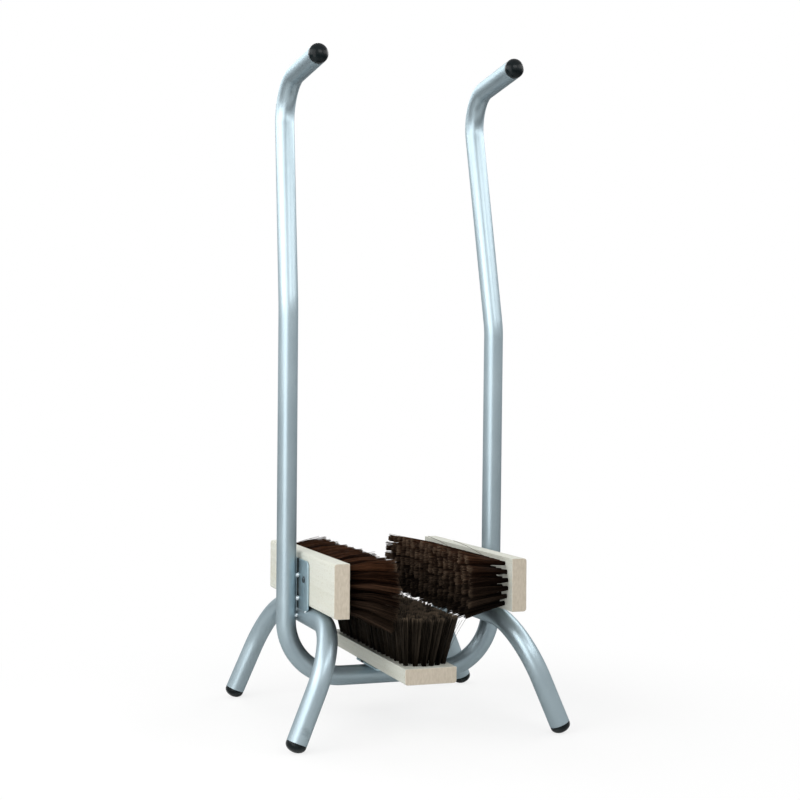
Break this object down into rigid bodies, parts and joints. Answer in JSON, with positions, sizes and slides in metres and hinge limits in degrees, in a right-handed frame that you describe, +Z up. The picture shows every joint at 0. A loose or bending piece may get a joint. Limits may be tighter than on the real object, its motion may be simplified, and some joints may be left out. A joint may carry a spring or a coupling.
{
  "type": "boot scraper",
  "caption": "Free-standing boot scraper: a bent tube frame with two forward grips and splayed leg arches, and wood-backed brushes at both sides and below the boot.",
  "frame": {"origin": "on the floor, below the middle of the whole object", "axes": "+Z up, +X to the user's right, -Y towards the user, who stands between the grips"},
  "size_m": [0.402, 0.414, 0.9408],
  "materials": {
    "tube_coat": "satin silver-grey powder coat",
    "plate_coat": "satin silver-grey powder coat, flat plate",
    "cap_plastic": "black moulded plastic",
    "pale_wood": "planed, unvarnished beech",
    "bristle_brown": "stiff dark brown bristle",
    "screw_steel": "dark plated steel"
  },
  "bodies": {
    "root": {"frame_tube": "tube_coat", "left_grip_cap": "cap_plastic", "right_grip_cap": "cap_plastic", "left_leg_arch": "tube_coat", "left_front_foot": "cap_plastic", "left_rear_foot": "cap_plastic", "right_leg_arch": "tube_coat", "right_front_foot": "cap_plastic", "right_rear_foot": "cap_plastic", "left_bracket": "plate_coat", "left_block": "pale_wood", "left_bristles": "bristle_brown", "left_screw_front": "screw_steel", "left_screw_rear": "screw_steel", "right_bracket": "plate_coat", "right_block": "pale_wood", "right_bristles": "bristle_brown", "right_screw_front": "screw_steel", "right_screw_rear": "screw_steel", "bottom_bracket": "plate_coat", "bottom_block": "pale_wood", "bottom_bristles": "bristle_brown", "bottom_screw_front": "screw_steel", "bottom_screw_rear": "screw_steel"}
  },
  "joints": []
}
